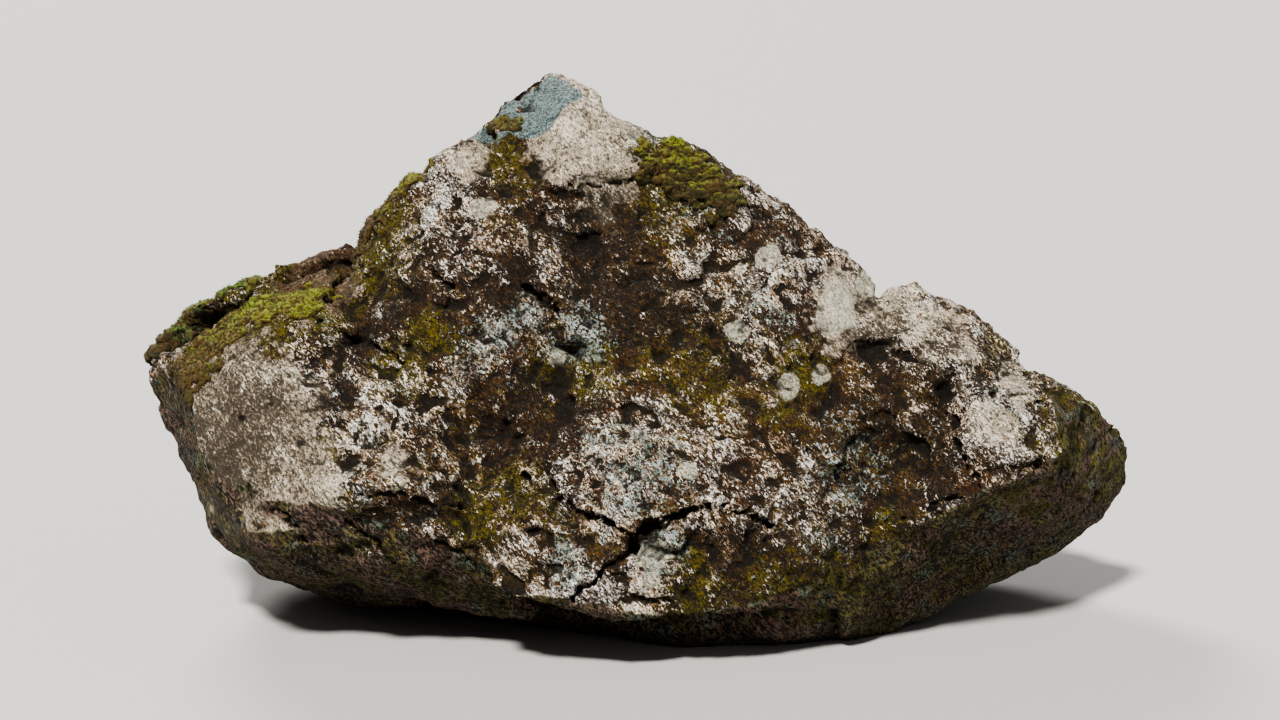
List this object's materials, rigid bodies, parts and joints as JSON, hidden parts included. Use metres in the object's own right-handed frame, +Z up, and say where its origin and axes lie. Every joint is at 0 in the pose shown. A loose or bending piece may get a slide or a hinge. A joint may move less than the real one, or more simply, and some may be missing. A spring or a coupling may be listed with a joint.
{
  "type": "granite rock",
  "caption": "Free-standing weathered granite boulder, pointed left of its middle, with lichen-crusted faces, an undercut lower front, and thin moss mats on its upper ledges; rests on a flat underside.",
  "frame": {"origin": "middle of the bounding box in X and Y, on the plane of the flat resting face", "axes": "+Z up; +X along the boulder's longest side, towards its low pointed end; -Y out of the broad front that carries the belly and the crack"},
  "size_m": [1.2216, 0.6446, 0.6568],
  "materials": {
    "granite_rock": "matte",
    "moss_shoulder_cushion": "matte",
    "moss_left_slope": "matte",
    "moss_left_rim": "matte",
    "moss_left_crest": "matte",
    "moss_peak_tuft": "matte"
  },
  "bodies": {
    "root": {"granite_rock": "granite_rock", "moss_shoulder_cushion": "moss_shoulder_cushion", "moss_left_slope": "moss_left_slope", "moss_left_rim": "moss_left_rim", "moss_left_crest": "moss_left_crest", "moss_peak_tuft": "moss_peak_tuft"}
  },
  "joints": []
}
